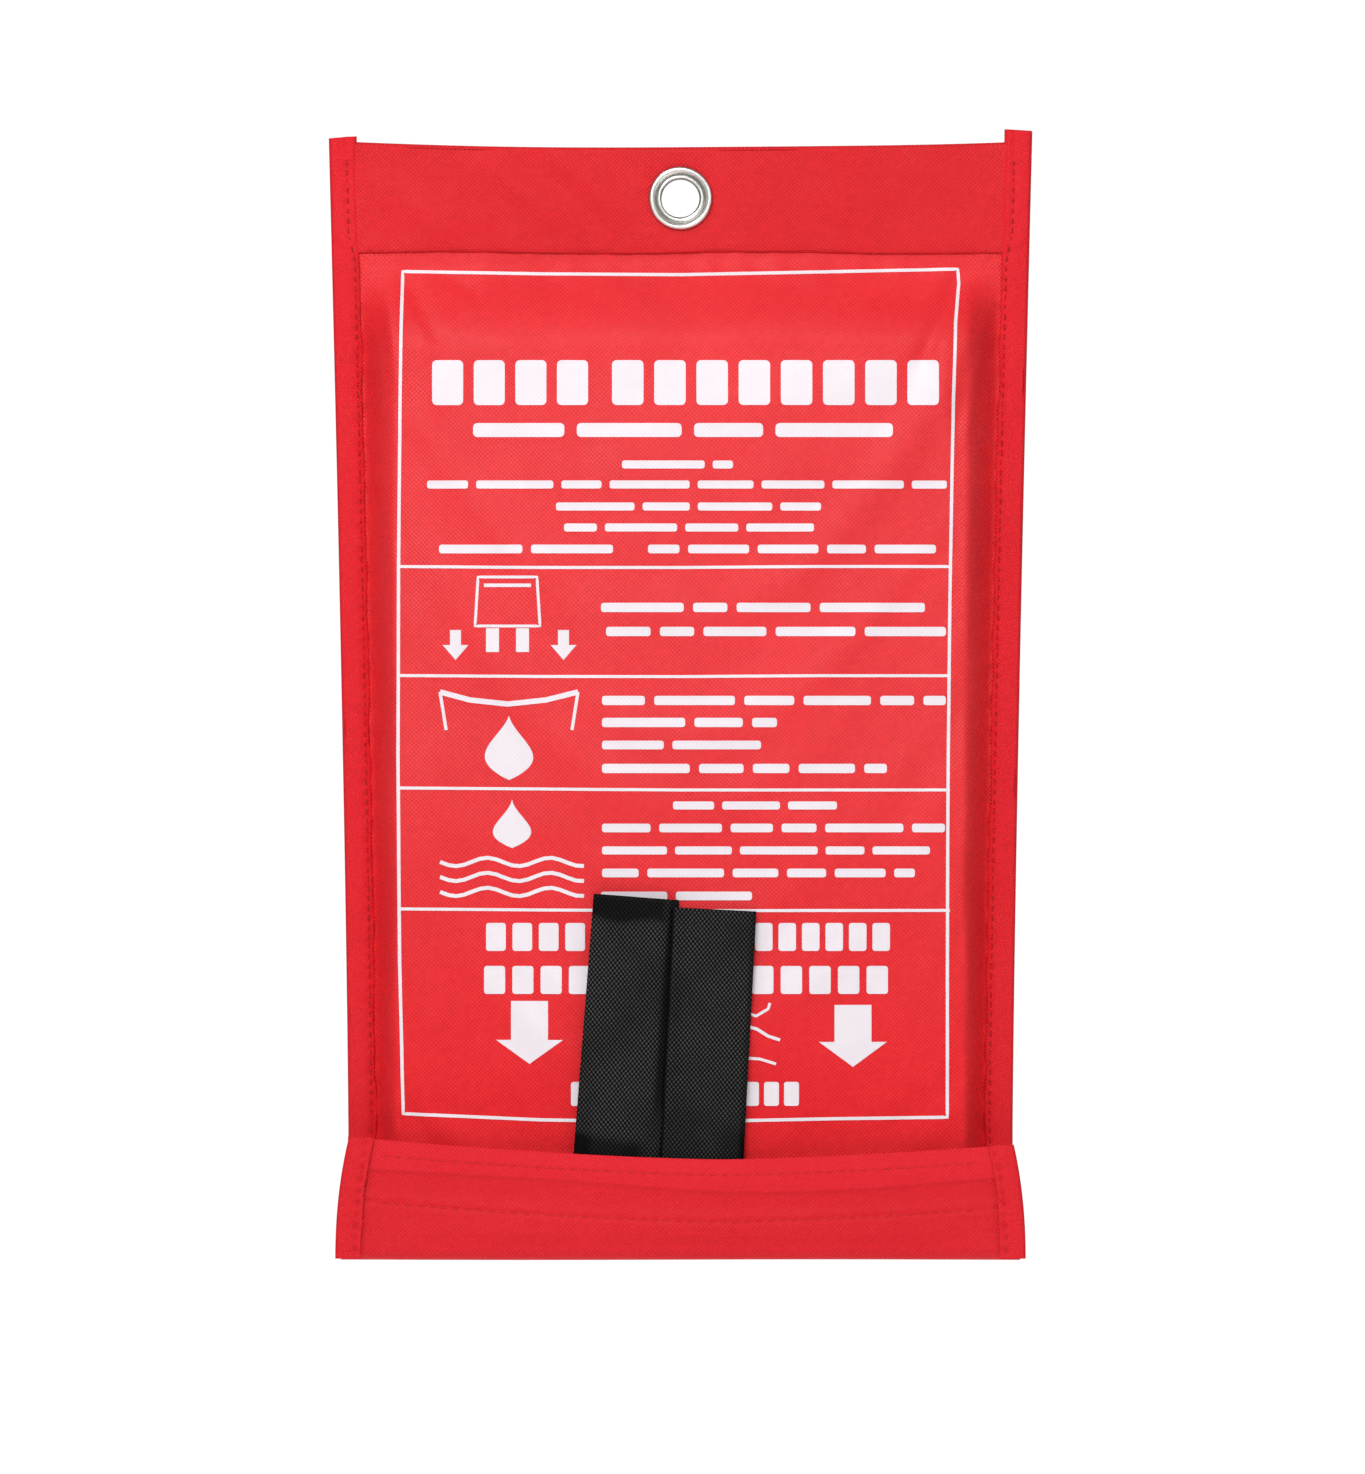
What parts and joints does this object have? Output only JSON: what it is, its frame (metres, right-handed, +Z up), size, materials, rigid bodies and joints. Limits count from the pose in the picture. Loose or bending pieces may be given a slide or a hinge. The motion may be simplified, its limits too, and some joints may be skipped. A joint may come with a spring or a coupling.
{
  "type": "fire blanket",
  "caption": "Red fabric pouch on a hanging eyelet, with a folded glass-fibre fire blanket, a fold-up mouth flap and black webbing pull tapes.",
  "frame": {"origin": "middle of the outline in x and y, at the height of the bottom fold", "axes": "+Z up towards the hanging eyelet, -Y out of the printed front, +X to the right seen from the front"},
  "size_m": [0.1999, 0.0232, 0.3206],
  "materials": {
    "red_fabric": "satin coated fabric, fine weave",
    "red_binding": "satin coated fabric tape",
    "red_thread": "matt sewing thread",
    "hook_and_loop": "matt hook-and-loop tape",
    "black_webbing": "matt woven webbing",
    "black_thread": "matt sewing thread",
    "glass_cloth": "satin woven glass-fibre cloth",
    "white_thread": "matt sewing thread",
    "white_print": "satin screen-printed ink",
    "nickel": "polished nickel plate"
  },
  "bodies": {
    "pouch": {"front_panel": "red_fabric", "back_panel": "red_fabric", "header_band": "red_fabric", "left_side_binding": "red_binding", "right_side_binding": "red_binding", "eyelet_front": "nickel", "eyelet_washer": "nickel", "header_seam_thread": "red_thread", "left_seam_thread": "red_thread", "right_seam_thread": "red_thread", "mouth_loop_strip": "hook_and_loop"},
    "flap_fold": {"flap_fold_strip": "red_fabric"},
    "flap": {"flap_panel": "red_fabric", "flap_left_binding": "red_binding", "flap_right_binding": "red_binding", "flap_hook_strip": "hook_and_loop", "flap_upper_seam_thread": "red_thread", "flap_lower_seam_thread": "red_thread", "flap_left_seam_thread": "red_thread", "flap_right_seam_thread": "red_thread"},
    "blanket": {"blanket": "glass_cloth", "blanket_hem_thread": "white_thread", "left_tape_root": "black_webbing", "right_tape_root": "black_webbing", "left_tape_stitching": "black_thread", "right_tape_stitching": "black_thread"},
    "left_tape": {"left_pull_tape": "black_webbing"},
    "right_tape": {"right_pull_tape": "black_webbing"}
  },
  "joints": [
    {"name": "flap_open", "type": "hinge", "parent": "pouch", "child": "flap_fold", "pos_m": [0, 0.00907, 0.0003], "axis": [1, 0, 0], "range_deg": [0, 90]},
    {"name": "flap_band_fold", "type": "hinge", "parent": "flap_fold", "child": "flap", "pos_m": [0, -0.00972, 0.0003], "axis": [1, 0, 0], "range_deg": [0, 90]},
    {"name": "blanket_slide", "type": "slide", "parent": "pouch", "child": "blanket", "axis": [0, 0, -1], "range_m": [0, 0.29], "deforming": ["flap_fold_strip"]},
    {"name": "left_tape_flip", "type": "hinge", "parent": "blanket", "child": "left_tape", "pos_m": [-0.00526, -0.01008, 0.034], "axis": [0.9982, 0, -0.0598], "range_deg": [0, 175]},
    {"name": "right_tape_flip", "type": "hinge", "parent": "blanket", "child": "right_tape", "pos_m": [-0.00526, -0.01008, 0.034], "axis": [0.9982, 0, -0.0598], "range_deg": [0, 175]}
  ],
  "couplings": [
    {"joint": "flap_band_fold", "follows": "flap_open", "ratio": 1}
  ]
}
